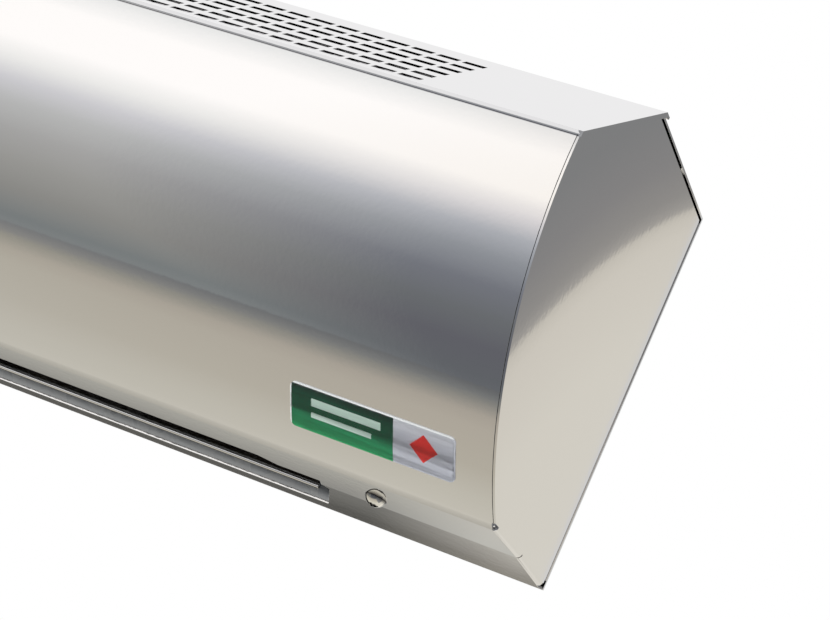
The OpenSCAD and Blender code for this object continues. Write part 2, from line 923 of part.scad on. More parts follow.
module vane_bushes() {
    color("whitesmoke")
        both_ends()
            difference() {
                union() {
                    bar(vane_half + pass_gap + 1.5 + pass_gap, part_x, vane_c, vane_bush_r + 2);
                    bar(part_x - over, part_out + 2, vane_c, vane_bush_r);
                }
                bar(vane_half, part_out + 3, vane_c, pin_r + running_gap);
            }
}

function rod_point(i) = [heater_y + (i - 1.5) * heat_pitch, heater_z];

module heating_element() {
    turn_x = part_x - 14 - heat_pitch / 2;
    tail_x = part_out + 14;
    color("dimgray") {
        for (pair = [0, 2]) {
            bar(-turn_x, tail_x, rod_point(pair), heat_r);
            bar(-turn_x, tail_x, rod_point(pair + 1), heat_r);
            place(-turn_x, mid(rod_point(pair), rod_point(pair + 1)))
                rotate([0, 0, 90]) rotate_extrude(angle = 180) translate([heat_pitch / 2, 0]) circle(heat_r);
        }
        for (i = [0 : 3]) bar(tail_x, tail_x + 10, rod_point(i), heat_r / 2);
    }
}

module heater_supports() {
    step = 2 * part_x / (support_count + 1);
    color("lightgray")
        for (i = [1 : support_count])
            difference() {
                run(i * step - part_x - frame_t / 2, i * step - part_x + frame_t / 2)
                    intersection() {
                        polygon([tongue_foot, scroll_foot, scroll_touch, nose]);
                        translate([-brow_y, heater_z - support_h / 2]) square([brow_y, support_h]);
                    }
                for (k = [0 : 3]) bar(i * step - part_x - 3, i * step - part_x + 3, rod_point(k), heat_r + seat_gap);
            }
}

module ceramic_bushes() {
    color("ivory")
        for (i = [0 : 3])
            difference() {
                union() {
                    bar(part_x - 3, part_x, rod_point(i), ceramic_d / 2);
                    bar(part_x - over, part_out + 5, rod_point(i), ceramic_d / 2 - 1);
                }
                bar(part_x - 4, part_out + 6, rod_point(i), heat_r + seat_gap);
            }
}

module cutout_point() {
    place(part_x, [heater_y + 13, heater_z + 22]) children();
}

module thermal_cutout() {
    color("saddlebrown")
        cutout_point()
            rotate([0, 90, 0]) {
                cylinder(h = frame_t, r = cutout_d / 2 - 2 - seat_gap);
                translate([0, 0, frame_t]) cylinder(h = 7, r = cutout_d / 2);
                for (y = [-3, 3])
                    translate([-2, y - 0.4, frame_t + 7]) cube([4, 0.8, 7]);
            }
}

module terminal_block() {
    color("whitesmoke")
        difference() {
            block(
                [block_x, wall_side - block_d, block_z],
                [block_x + block_len, wall_side, block_z + block_h]
            );
            terminal_points() {
                translate([0, -block_d - over, 0]) rotate([-90, 0, 0]) cylinder(h = 9, r = 2.5);
                translate([0, -block_d / 2, -block_h / 2 - over]) cylinder(h = 7, r = 1.8);
                translate([0, -block_d / 2, block_h / 2 - 6]) cylinder(h = 7, r = 1.8);
            }
        }
}

module terminal_points() {
    pitch = block_len / terminals;
    for (i = [0 : terminals - 1])
        place(block_x + pitch * (i + 0.5), [wall_side, block_z + block_h / 2]) children();
}

module terminal_screws() {
    color("goldenrod")
        terminal_points()
            difference() {
                translate([0, -block_d + 2, 0]) rotate([-90, 0, 0]) cylinder(h = 6, r = 2.5 - seat_gap);
                translate([-3, -block_d + 1, -0.4]) cube([6, 2, 0.8]);
            }
}

module control_board() {
    y0 = wall_side - standoff_h;
    color("darkgreen")
        difference() {
            block([board_x, y0 - 1.6, board_z], [board_x + board_w, y0, board_z + board_h]);
            board_points() peg_through();
        }
}

// A screw hole from the wall forwards through the board, at the current point
module peg_through() {
    translate([0, over, 0]) rotate([90, 0, 0]) cylinder(h = 4 * over + standoff_h + 3, r = small_screw_d / 2 + seat_gap);
}

module relays() {
    y0 = wall_side - standoff_h - 1.6;
    x0 = board_x + board_w / 2;
    color("royalblue")
        for (z = [12, 30])
            block([x0 - 15, y0 - 15, board_z + z], [x0 + 4, y0, board_z + z + 15]);
    color("black") block([x0 + 7, y0 - 6, board_z + 13], [x0 + 15, y0, board_z + 43]);
}

module standoffs() {
    color("ivory")
        board_points()
            difference() {
                translate([0, wall_side, 0]) rotate([90, 0, 0]) cylinder(h = standoff_h, r = 3.6);
                peg_through();
            }
}

module board_screws() {
    length = sheet_t + standoff_h + 1.6;
    color("silver")
        board_points() {
            rotate([90, 0, 0]) cylinder(h = length + over, r = small_screw_d / 2);
            translate([0, -length, 0]) rotate([90, 0, 0]) cylinder(h = 1.8, r = small_screw_d / 2 + 1.2);
        }
}

module wiring_loom() {
    color("black") bar(-part_out - 8, part_out + 8, [-loom_y, loom_z], loom_d / 2);
}

module loom_grommets() {
    r = loom_d / 2;
    color("black")
        both_ends()
            difference() {
                union() {
                    bar(part_x - 2, part_out + 2, [-loom_y, loom_z], r + 1.5);
                    bar(part_out, part_out + 2, [-loom_y, loom_z], r + 2.5);
                    bar(part_x - 2, part_x, [-loom_y, loom_z], r + 2.5);
                }
                bar(part_x - 3, part_out + 3, [-loom_y, loom_z], r + seat_gap);
            }
}

module loom_clips() {
    r = loom_d / 2;
    color("whitesmoke")
        for (x = [-part_x * 0.6, 0, part_x * 0.6])
            difference() {
                union() {
                    bar(x - 4, x + 4, [-loom_y, loom_z], r + 1.5);
                    block([x - 4, -loom_y, loom_z - r - 1.5], [x + 4, wall_side, loom_z + r + 1.5]);
                }
                bar(x - 5, x + 5, [-loom_y, loom_z], r + seat_gap);
            }
}

module cable_grommet() {
    hole_r = inlet_hole_d / 2;
    color("black")
        difference() {
            union() {
                peg(inlet[0], inlet[1], 0, sheet_t + 4, hole_r - seat_gap);
                peg(inlet[0], inlet[1], sheet_t, sheet_t + 2.5, hole_r + 2.5);
            }
            peg(inlet[0], inlet[1], -over, sheet_t + 5, inlet_r);
        }
}

// A wire swept along points, as rings of one tube
module wire(path, r) {
    sides = 8;
    last = len(path) - 1;
    points = [
        for (i = [0 : last])
            let (
                along = unit(path[min(i + 1, last)] - path[max(i - 1, 0)]),
                up = abs(along[2]) > 0.9 ? [0, 1, 0] : [0, 0, 1],
                u = unit(cross(up, along)),
                v = cross(along, u)
            )
            for (k = [0 : sides - 1]) path[i] + (u * cos(k * 360 / sides) + v * sin(k * 360 / sides)) * r
    ];
    faces = concat(
        [[for (k = [0 : sides - 1]) k]],
        [[for (k = [sides - 1 : -1 : 0]) last * sides + k]],
        [
            for (i = [0 : last - 1], k = [0 : sides - 1])
                let (n = (k + 1) % sides)
                [i * sides + k, (i + 1) * sides + k, (i + 1) * sides + n, i * sides + n]
        ]
    );
    translate([0, 0, -back_h / 2]) polyhedron(points, faces);
}

// A curve from p to q that leaves p along a and arrives at q along b
function curve(p, a, b, q, steps = 10) = [
    for (i = [0 : steps])
        let (t = i / steps, s = 1 - t)
        p * s * s * s + (p + a) * 3 * s * s * t + (q + b) * 3 * s * t * t + q * t * t * t
];

module short_wires() {
    r = wire_d / 2;
    pitch = block_len / terminals;
    rod_x = part_out + 24;
    block_y = wall_side - block_d / 2;
    board_y = wall_side - standoff_h - 1.6;
    gap = 0.3;
    color("firebrick")
        for (i = [0 : 1])
            wire(
                curve(
                    [rod_x + gap, rod_point(3 - i)[0], heater_z],
                    [6 + 14 * i, 0, 0],
                    [0, 0, -14],
                    [block_x + pitch * (i + 0.5), block_y, block_z - gap]
                ),
                r
            );
    color("black")
        for (i = [0 : 1])
            wire(
                curve(
                    [block_x + pitch * (i + 0.5), block_y, block_z + block_h + gap],
                    [0, 0, 8],
                    [0, -12, 0],
                    [board_x + board_w / 2 - 5 + 10 * i, board_y - gap, board_z + 5]
                ),
                r
            );
}

// The badge's outline at +x, pushed out square to the front at the badge's middle
module badge_prism(margin) {
    chord_angle = (badge_rise + badge_h / 2) / front_r * 180 / PI;
    middle = angle_of(crease - front_centre) - chord_angle;
    w = badge_len - 2 * margin;
    h = badge_h - 2 * margin;
    place(half - badge_end - badge_len / 2, front_centre)
        rotate([middle, 0, 0])
            translate([0, front_r, 0])
                rotate([-90, 0, 0])
                    translate([0, 0, -5])
                        linear_extrude(12) rounded(w, h, badge_r - margin);
}

module rounded(w, h, r) {
    for (x = [-1, 1], y = [-1, 1]) translate([x * (w / 2 - r), y * (h / 2 - r)]) circle(r, $fn = 48);
    square([w, h - 2 * r], center = true);
    square([w - 2 * r, h], center = true);
}

module badge_shell(r0, r1, margin) {
    intersection() {
        badge_prism(margin);
        run(half - badge_end - badge_len - over, half - badge_end + over)
            translate(front_centre)
                difference() {
                    circle(r1, $fn = 240);
                    circle(r0, $fn = 240);
                }
    }
}

module badge_film() {
    color("seagreen") badge_shell(front_r, front_r + film_t, 0);
}

module badge_dome() {
    color("lightcyan", 0.4) badge_shell(front_r + film_t, front_r + film_t + dome_t, 0.2);
}

module front_screws() {
    dome_r = (head_d * head_d / 4 + head_h * head_h) / (2 * head_h);
    color("silver")
        both_ends()
            on_edge(crease, bend)
                translate([half - screw_end, screw_in, 0])
                    difference() {
                        union() {
                            cylinder(h = sheet_t + frame_t + 3, r = screw_d / 2);
                            intersection() {
                                translate([0, 0, dome_r - head_h]) sphere(dome_r);
                                translate([0, 0, -head_h]) cylinder(h = head_h, r = head_d / 2);
                            }
                        }
                        for (turn = [0, 90])
                            rotate([0, 0, turn]) translate([-2.6, -0.55, -head_h - over]) cube([5.2, 1.1, over + 2]);
                    }
}

module partition_screws() {
    r = small_screw_d / 2;
    color("silver")
        both_ends()
            partition_screw_points() {
                rotate([90, 0, 0]) cylinder(h = sheet_t + frame_t + over, r = r);
                translate([0, wall_side - frame_t, 0]) rotate([90, 0, 0]) cylinder(h = 2, r = r + 1.4);
            }
}

module end_plate_rivets() {
    r = rivet_d / 2;
    color("silver")
        both_ends()
            rivet_points() {
                rotate([90, 0, 0]) cylinder(h = 2 * sheet_t + over, r = r);
                translate([0, -2 * sheet_t, 0]) rotate([90, 0, 0]) cylinder(h = 1.2, r = r * 1.8);
            }
}

front_panel();
back_plate();
intake_grille();
end_plate_left();
end_plate_right();
partition_left();
partition_right();
scroll_sheet();
tongue_sheet();
rotor();
drive_hub();
idle_hub();
motor_shaft();
idle_shaft();
idle_bush();
bush_rubber();
bush_housing();
motor();
motor_ring();
motor_bracket();
capacitor();
capacitor_clip();
outlet_vane();
vane_pins();
vane_bushes();
heating_element();
heater_supports();
ceramic_bushes();
thermal_cutout();
terminal_block();
terminal_screws();
control_board();
relays();
standoffs();
wiring_loom();
loom_clips();
loom_grommets();
short_wires();
cable_grommet();
badge_film();
badge_dome();
front_screws();
partition_screws();
bracket_screws();
board_screws();
end_plate_rivets();
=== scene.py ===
"""A compact air curtain in bright rolled stainless sheet, seen from the front right and a little below."""
import json
import math
import bmesh
import bpy
from mathutils import Matrix, Vector


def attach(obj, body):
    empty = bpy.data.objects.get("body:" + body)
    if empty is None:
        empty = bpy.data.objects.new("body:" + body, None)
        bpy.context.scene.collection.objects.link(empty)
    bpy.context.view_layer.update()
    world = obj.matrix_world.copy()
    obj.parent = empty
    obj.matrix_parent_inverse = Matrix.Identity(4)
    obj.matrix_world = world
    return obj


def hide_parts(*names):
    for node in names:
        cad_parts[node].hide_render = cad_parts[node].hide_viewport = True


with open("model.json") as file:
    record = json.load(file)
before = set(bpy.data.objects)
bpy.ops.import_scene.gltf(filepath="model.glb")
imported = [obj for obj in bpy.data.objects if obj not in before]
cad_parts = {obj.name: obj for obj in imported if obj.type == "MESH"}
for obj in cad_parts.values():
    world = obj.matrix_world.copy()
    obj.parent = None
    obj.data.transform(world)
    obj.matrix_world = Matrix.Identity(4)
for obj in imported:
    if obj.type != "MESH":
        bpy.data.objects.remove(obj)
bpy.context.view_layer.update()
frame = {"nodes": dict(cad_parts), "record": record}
scene = bpy.context.scene
body_of = {node: body for body, nodes in frame["record"]["behaviour"]["bodies"].items() for node in nodes}
slot_of = {part["node"]: part["material_slot"] for part in frame["record"]["subparts"]}

# The casing's section in metres, as depth and height from its lower rear corner: the same places as in the CAD.
half = 0.400
back_low = -0.086
brow = Vector((-0.135, 0.156))
crease = Vector((-0.0635, 0.008))
front_r = 0.169
chord = crease - brow
front_centre = (brow + crease) / 2 + Vector((-chord.y, chord.x)).normalized() * math.sqrt(
    front_r ** 2 - chord.length_squared / 4)
crease_turn = math.atan2(crease.y - front_centre.y, crease.x - front_centre.x)


def up_the_front(distance):
    """The height, in the frame, of the place this far up the curved front from the crease."""
    return back_low + front_centre.y + front_r * math.sin(crease_turn - distance / front_r)


# The badge on the curved front: its ends along x, and the heights of its lower and upper edges.
badge_left, badge_right = half - 0.0982, half - 0.0187
badge_low, badge_high = up_the_front(0.017), up_the_front(0.038)


# ---------------------------------------------------------------- small helpers

def linear(hex_colour):
    """An sRGB hex value as the linear colour that Blender's sockets take."""
    parts = [int(hex_colour[i:i + 2], 16) / 255 for i in (1, 3, 5)]
    return (*[c / 12.92 if c <= 0.04045 else ((c + 0.055) / 1.055) ** 2.4 for c in parts], 1.0)


def add(tree, kind, inputs=None, out=0, stops=(), **settings):
    """Adds a node with its settings, and returns one of its outputs, or the node itself where out is None.
    Each input is a value or another node's output, and each stop of a ramp is a place and a colour."""
    made = tree.nodes.new("ShaderNode" + kind)
    for name, value in settings.items():
        setattr(made, name, value)
    for name, value in (inputs or {}).items():
        if isinstance(value, bpy.types.NodeSocket):
            tree.links.new(value, made.inputs[name])
        else:
            made.inputs[name].default_value = value
    if stops:
        elements = made.color_ramp.elements
        while len(elements) < len(stops):
            elements.new(0.5)
        for element, (place, colour) in zip(elements, stops):
            element.position = place
        for element, (place, colour) in zip(elements, stops):
            element.color = linear(colour)
    return made if out is None else made.outputs[out]


def material(name, **sockets):
    """A new material with its shader; returns the material, its tree and the shader."""
    made = bpy.data.materials.new(name)
    made.use_nodes = True
    tree = made.node_tree
    tree.nodes.clear()
    shader = add(tree, "BsdfPrincipled", {k.replace("_", " "): v for k, v in sockets.items()}, out=None)
    add(tree, "OutputMaterial", {"Surface": shader.outputs["BSDF"]}, out=None)
    return made, tree, shader


def wire(shader, **sources):
    """Links other nodes' outputs to the shader's sockets."""
    for name, source in sources.items():
        shader.id_data.links.new(source, shader.inputs[name.replace("_", " ")])


def grain(size):
    """The scale of a noise whose grains are about this many millimetres across."""
    return 500 / size


# ---------------------------------------------------------------- materials

def bright_rolled_stainless(name, colour, roughness, depth):
    """Bright cold-rolled stainless sheet: skin-passed between polished rolls, so it is nearly a mirror, with
    a fine orange peel that breaks up the edges of reflections, faint rolling lines along the sheet and a slow
    wave. The peel is about half a millimetre across, and is drawn at 1.2 mm so that it shows."""
    made, tree, shader = material(name, Base_Color=linear(colour), Metallic=1.0)
    where = add(tree, "TexCoord", out="Object")
    cloud = add(tree, "TexNoise", {"Vector": where, "Scale": grain(60), "Detail": 2.0})
    peel = add(tree, "TexNoise", {"Vector": where, "Scale": grain(1.2), "Detail": 1.0, "Roughness": 0.6})
    along = add(tree, "Mapping", {"Vector": where, "Scale": (0.02, 1, 1)})
    rolling = add(tree, "TexNoise", {"Vector": along, "Scale": grain(2.2), "Detail": 2.0})
    wave = add(tree, "TexNoise", {"Vector": where, "Scale": grain(12), "Detail": 1.0})
    skin = add(tree, "Bump", {"Height": peel, "Distance": depth})
    skin = add(tree, "Bump", {"Height": rolling, "Distance": depth * 0.5, "Normal": skin})
    skin = add(tree, "Bump", {"Height": wave, "Distance": depth * 0.6, "Normal": skin})
    wire(shader, Normal=skin,
         Roughness=add(tree, "MapRange", {"Value": cloud, "To Min": roughness * 0.85, "To Max": roughness * 1.2}))
    return made


def galvanised_sheet(name):
    """Hot-dip galvanised steel: crystals about 6 mm across, each with its own grey and gloss."""
    made, tree, shader = material(name, Metallic=1.0)
    where = add(tree, "TexCoord", out="Object")
    spangle = add(tree, "TexVoronoi", {"Vector": where, "Scale": 1000 / 6.25}, out="Color")
    grey = add(tree, "SeparateColor", {"Color": spangle}, out="Red")
    pebble = add(tree, "TexNoise", {"Vector": where, "Scale": grain(1.6), "Detail": 3.0})
    wire(shader,
         Base_Color=add(tree, "ValToRGB", {"Fac": grey}, stops=((0.0, "#a3a6a8"), (1.0, "#c4c6c7"))),
         Roughness=add(tree, "MapRange", {"Value": grey, "To Min": 0.34, "To Max": 0.5}),
         Normal=add(tree, "Bump", {"Height": pebble, "Distance": 0.00003}))
    return made


def turned_steel(name, colour, roughness):
    """Ground or turned metal: fine rings left across the bar by the tool. They are drawn at 0.6 mm, about
    three times as coarse as the real ones, so that they show."""
    made, tree, shader = material(name, Base_Color=linear(colour), Metallic=1.0)
    where = add(tree, "TexCoord", out="Object")
    rings = add(tree, "Mapping", {"Vector": where, "Scale": (1, 0.05, 0.05)})
    lines = add(tree, "TexNoise", {"Vector": rings, "Scale": grain(0.6), "Detail": 2.0})
    wire(shader,
         Roughness=add(tree, "MapRange", {"Value": lines, "To Min": roughness * 0.8, "To Max": roughness * 1.4}),
         Normal=add(tree, "Bump", {"Height": lines, "Distance": 0.00001}))
    return made


def plated_screw(name):
    """Nickel-plated screws: bright on the dome, with painted shade near black in the recess and wherever the head
    is hemmed in.
    """
    made, tree, shader = material(name, Metallic=1.0)
    where = add(tree, "TexCoord", out="Object")
    # Painted shade: ambient occlusion within 4 mm finds the recess and the corners under and around the head.
    occlusion_for_painted_shade = add(tree, "AmbientOcclusion", {"Distance": 0.004}, out="AO", samples=8)
    drawn = add(tree, "Mapping", {"Vector": where, "Scale": (1, 1, 0.1)})
    lines = add(tree, "TexNoise", {"Vector": drawn, "Scale": grain(0.4), "Detail": 2.0})
    # The base colour is painted shade: near black where the surface is hemmed in, bright where it is open.
    wire(shader,
         Base_Color=add(tree, "ValToRGB", {"Fac": occlusion_for_painted_shade}, stops=((0.7, "#141413"), (0.97, "#f6f5f3"))),
         Roughness=add(tree, "MapRange", {"Value": lines, "To Min": 0.05, "To Max": 0.1}),
         Normal=add(tree, "Bump", {"Height": lines, "Distance": 0.000004}))
    return made


def cast_or_dull_metal(name, colour, dark, roughness):
    """Die-cast, sintered or mill-finish metal: a dull skin with slow stains and a fine pebble."""
    made, tree, shader = material(name, Metallic=1.0)
    where = add(tree, "TexCoord", out="Object")
    stain = add(tree, "TexNoise", {"Vector": where, "Scale": grain(12), "Detail": 4.0})
    pebble = add(tree, "TexNoise", {"Vector": where, "Scale": grain(0.8), "Detail": 3.0})
    wire(shader,
         Base_Color=add(tree, "ValToRGB", {"Fac": stain}, stops=((0.3, dark), (0.7, colour))),
         Roughness=add(tree, "MapRange", {"Value": stain, "To Min": roughness * 0.85, "To Max": roughness * 1.2}),
         Normal=add(tree, "Bump", {"Height": pebble, "Distance": 0.00002}))
    return made


def moulded_plastic(name, colour, roughness, bloom=0.04):
    """Injection-moulded nylon, phenolic or PVC: an even colour, a spark-eroded pebble and slight flow marks."""
    made, tree, shader = material(name, IOR=1.5)
    where = add(tree, "TexCoord", out="Object")
    flow = add(tree, "TexNoise", {"Vector": where, "Scale": grain(10), "Detail": 3.0})
    pebble = add(tree, "TexNoise", {"Vector": where, "Scale": grain(0.5), "Detail": 3.0})
    darker, lighter = [(*[min(1, c * share) for c in linear(colour)[:3]], 1) for share in (1 - bloom, 1 + bloom)]
    wire(shader,
         Base_Color=add(tree, "Mix", {"Factor": flow, 6: darker, 7: lighter}, out=2, data_type="RGBA"),
         Roughness=add(tree, "MapRange", {"Value": flow, "To Min": roughness * 0.9, "To Max": roughness * 1.15}),
         Normal=add(tree, "Bump", {"Height": pebble, "Distance": 0.000012}))
    return made


def hammered_enamel(name, colour):
    """Stoved motor enamel: thick, in slight pools about 2 mm across that are darker where it is thin."""
    made, tree, shader = material(name, IOR=1.5, Coat_Weight=0.4, Coat_Roughness=0.25)
    where = add(tree, "TexCoord", out="Object")
    pools = add(tree, "TexNoise", {"Vector": where, "Scale": grain(2), "Detail": 2.0})
    wire(shader,
         Base_Color=add(tree, "ValToRGB", {"Fac": pools}, stops=((0.35, "#2d3032"), (0.65, colour))),
         Roughness=add(tree, "MapRange", {"Value": pools, "To Min": 0.35, "To Max": 0.5}),
         Normal=add(tree, "Bump", {"Height": pools, "Distance": 0.00008}))
    return made


def heat_tinted_tube(name):
    """Heater sheath after its first firing: bronze and blue-grey oxide in slow bands along the tube."""
    made, tree, shader = material(name, Metallic=1.0)
    where = add(tree, "TexCoord", out="Object")
    along = add(tree, "Mapping", {"Vector": where, "Scale": (1, 0.2, 0.2)})
    band = add(tree, "TexNoise", {"Vector": along, "Scale": grain(50), "Detail": 3.0})
    scale = add(tree, "TexNoise", {"Vector": where, "Scale": grain(0.6), "Detail": 3.0})
    oxide = ((0.3, "#4a433c"), (0.5, "#6b5f50"), (0.7, "#55565c"))
    wire(shader,
         Base_Color=add(tree, "ValToRGB", {"Fac": band}, stops=oxide),
         Roughness=add(tree, "MapRange", {"Value": band, "To Min": 0.35, "To Max": 0.55}),
         Normal=add(tree, "Bump", {"Height": scale, "Distance": 0.00001}))
    return made


def solder_resist_board(name):
    """Glass-epoxy board under green solder resist, with copper tracks 2 to 3 mm apart showing faintly."""
    made, tree, shader = material(name, IOR=1.5, Coat_Weight=0.3)
    where = add(tree, "TexCoord", out="Object")
    tracks = add(tree, "TexBrick", {
        "Vector": where, "Scale": 180.0, "Mortar Size": 0.03,
        "Color1": linear("#0f5a34"), "Color2": linear("#0b4a2a"), "Mortar": linear("#2c7a4c")})
    sheen = add(tree, "TexNoise", {"Vector": where, "Scale": grain(4), "Detail": 3.0})
    wire(shader, Base_Color=tracks,
         Roughness=add(tree, "MapRange", {"Value": sheen, "To Min": 0.3, "To Max": 0.42}))
    return made


def fired_steatite(name):
    """Glazed technical ceramic: cream, glossy, with pinholes."""
    made, tree, shader = material(name, IOR=1.55, Coat_Weight=0.5, Coat_Roughness=0.08)
    where = add(tree, "TexCoord", out="Object")
    body = add(tree, "TexNoise", {"Vector": where, "Scale": grain(4), "Detail": 3.0})
    pinholes = add(tree, "TexNoise", {"Vector": where, "Scale": grain(0.4), "Detail": 3.0})
    wire(shader,
         Base_Color=add(tree, "ValToRGB", {"Fac": body}, stops=((0.3, "#e6dfcc"), (0.7, "#f1ece0"))),
         Roughness=add(tree, "MapRange", {"Value": body, "To Min": 0.22, "To Max": 0.34}),
         Normal=add(tree, "Bump", {"Height": pinholes, "Distance": 0.000008}))
    return made


def printed_film(name):
    """Screen-printed polyester film: a green field that lightens downwards with two plain light bars, and a
    silver field at its right with a plain red lozenge. What it mirrors of its own is weak, because clear
    resin lies on it, so its IOR is low."""
    made, tree, shader = material(name, IOR=1.1, Roughness=0.3)
    corner = add(tree, "Mapping", {"Vector": add(tree, "TexCoord", out="Object"),
                                   "Location": (-badge_left, 0, -badge_low)})
    # From here on places are shares of the badge's length and height.
    share = add(tree, "Mapping", {"Vector": corner, "Scale": (1 / (badge_right - badge_left), 1,
                                                              1 / (badge_high - badge_low))})
    axes = add(tree, "SeparateXYZ", {"Vector": share}, out=None).outputs

    def inside(left, right, low, high):
        """1 inside an upright rectangle."""
        spans = [add(tree, "Math", {0: axes[axis], 1: (start + end) / 2, 2: (end - start) / 2},
                     operation="COMPARE") for axis, start, end in (("X", left, right), ("Z", low, high))]
        return add(tree, "Math", {0: spans[0], 1: spans[1]}, operation="MULTIPLY")

    silver = add(tree, "ValToRGB", {"Fac": axes["Z"]}, stops=((0.0, "#a9abb4"), (0.5, "#b9bac2"), (1.0, "#c8c9cf")))
    off_centre = add(tree, "VectorMath", {0: share, 1: (0.815, 0, 0.5)}, operation="SUBTRACT")
    off_centre = add(tree, "VectorMath", {0: off_centre}, operation="ABSOLUTE")
    reach = add(tree, "VectorMath", {0: off_centre, 1: (1, 0, 0.27)}, out="Value", operation="DOT_PRODUCT")
    lozenge = add(tree, "Math", {0: reach, 1: 0.085}, operation="LESS_THAN")
    ink = add(tree, "ValToRGB", {"Fac": axes["Z"]}, stops=((0.0, "#239059"), (0.45, "#0f5b40"), (0.95, "#06231f")))
    for over, mask in (
        (silver, inside(0.632, 2.0, -1.0, 2.0)),
        (linear("#c3d6cc"), inside(0.13, 0.555, 0.56, 0.74)),
        (linear("#c3d6cc"), inside(0.13, 0.5, 0.30, 0.42)),
        (linear("#cf2e2c"), lozenge),
    ):
        ink = add(tree, "Mix", {"Factor": mask, 6: ink, 7: over}, out=2, data_type="RGBA")
    # A light line is drawn along the upper and left edges.
    ink = add(tree, "Mix", {"Factor": inside(0.007, 2.0, -1.0, 0.955), 6: linear("#e4e6e6"), 7: ink},
              out=2, data_type="RGBA")
    screen = add(tree, "TexNoise", {"Vector": corner, "Scale": grain(0.6), "Detail": 3.0})
    wire(shader, Base_Color=ink, Normal=add(tree, "Bump", {"Height": screen, "Distance": 0.000006}))
    return made


def poured_resin(name):
    """Clear poured polyurethane over the print: a thick meniscus of water-clear resin. What its outer face
    mirrors is laid over the print by its Fresnel share, so that the lamps reach the print."""
    made, tree, shader = material(name, Base_Color=linear("#fbfdfd"), Metallic=1.0)
    where = add(tree, "TexCoord", out="Object")
    share = add(tree, "Fresnel", {"IOR": 1.38})
    inner = add(tree, "NewGeometry", out="Backfacing")
    outer = add(tree, "Math", {0: 1.0, 1: inner}, operation="SUBTRACT")
    cloud = add(tree, "TexNoise", {"Vector": where, "Scale": grain(10), "Detail": 3.0})
    swell = add(tree, "TexNoise", {"Vector": where, "Scale": grain(12), "Detail": 1.0})
    wire(shader,
         Alpha=add(tree, "Math", {0: share, 1: outer}, operation="MULTIPLY"),
         Roughness=add(tree, "MapRange", {"Value": cloud, "To Min": 0.02, "To Max": 0.05}),
         Normal=add(tree, "Bump", {"Height": swell, "Distance": 0.00002}))
    return made


def black_rubber(name):
    """Moulded rubber: black, dull, dusted with bloom."""
    made, tree, shader = material(name, IOR=1.52)
    where = add(tree, "TexCoord", out="Object")
    dust = add(tree, "TexNoise", {"Vector": where, "Scale": grain(3), "Detail": 4.0})
    pebble = add(tree, "TexNoise", {"Vector": where, "Scale": grain(0.5), "Detail": 3.0})
    wire(shader,
         Base_Color=add(tree, "ValToRGB", {"Fac": dust}, stops=((0.3, "#141414"), (0.8, "#232322"))),
         Roughness=add(tree, "MapRange", {"Value": dust, "To Min": 0.6, "To Max": 0.8}),
         Normal=add(tree, "Bump", {"Height": pebble, "Distance": 0.00002}))
    return made


finishes = {
    "steel_polished": bright_rolled_stainless("bright_rolled_stainless", "#e3e2e3", 0.05, 0.000007),
    "steel_inner": galvanised_sheet("galvanised_sheet"),
    "steel_screw": plated_screw("nickel_plated_steel"),
    "shaft_steel": turned_steel("ground_shaft_steel", "#bfc0c2", 0.22),
    "rotor_metal": cast_or_dull_metal("mill_finish_aluminium", "#b5b7b9", "#9b9d9f", 0.42),
    "hub_cast": cast_or_dull_metal("die_cast_aluminium", "#a7a9ab", "#8b8d90", 0.5),
    "bronze": cast_or_dull_metal("sintered_bronze", "#b08a55", "#8e6c3f", 0.45),
    "brass_plain": turned_steel("turned_brass", "#d9ba72", 0.25),
    "rubber_black": black_rubber("black_rubber"),
    "motor_paint": hammered_enamel("stoved_motor_enamel", "#43474a"),
    "nylon_white": moulded_plastic("natural_nylon", "#e4e3dd", 0.5),
    "ceramic": fired_steatite("fired_steatite"),
    "heater_sheath": heat_tinted_tube("heat_tinted_heater_tube"),
    "phenolic": moulded_plastic("brown_phenolic", "#4a2c1e", 0.4, 0.12),
    "board_green": solder_resist_board("green_circuit_board"),
    "relay_blue": moulded_plastic("blue_relay_case", "#2d4f94", 0.35),
    "pvc_black": moulded_plastic("black_cable_pvc", "#1c1c1d", 0.5),
    "wire_red": moulded_plastic("silicone_wire_cover", "#a1322b", 0.45),
    "badge_print": printed_film("screen_printed_film"),
    "badge_resin": poured_resin("poured_clear_resin"),
}
for node, piece in frame["nodes"].items():
    piece.data.materials.clear()
    piece.data.materials.append(finishes[slot_of[node]])


# ---------------------------------------------------------------- pieces

def is_broad(face):
    """Whether a face is a flat of the sheet: over 20 mm wide both ways, unlike the facets of a curve."""
    sides = [max(v.co[axis] for v in face.verts) - min(v.co[axis] for v in face.verts) for axis in range(3)]
    return sorted(sides)[1] > 0.020


def mesh_piece(name, bm, node):
    """Puts a bmesh in the scene as a piece that stands for a CAD node: its body, slot and material."""
    def smooth_under(edge, degrees):
        """Marks an edge smooth where its two faces meet at less than this angle."""
        edge.smooth = len(edge.link_faces) == 2 and edge.calc_face_angle() < math.radians(degrees)

    for face in bm.faces:
        face.smooth = True
    for edge in bm.edges:
        smooth_under(edge, 30)
    # The bends' shading stops at the broad flats, so that these mirror flat.
    for edge in bm.edges:
        if any(is_broad(face) for face in edge.link_faces):
            smooth_under(edge, 0.1)
    mesh = bpy.data.meshes.new(name)
    bm.to_mesh(mesh)
    bm.free()
    piece = bpy.data.objects.new(name, mesh)
    scene.collection.objects.link(piece)
    mesh.materials.append(finishes[slot_of[node]])
    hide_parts(node)
    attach(piece, body_of[node])
    return piece


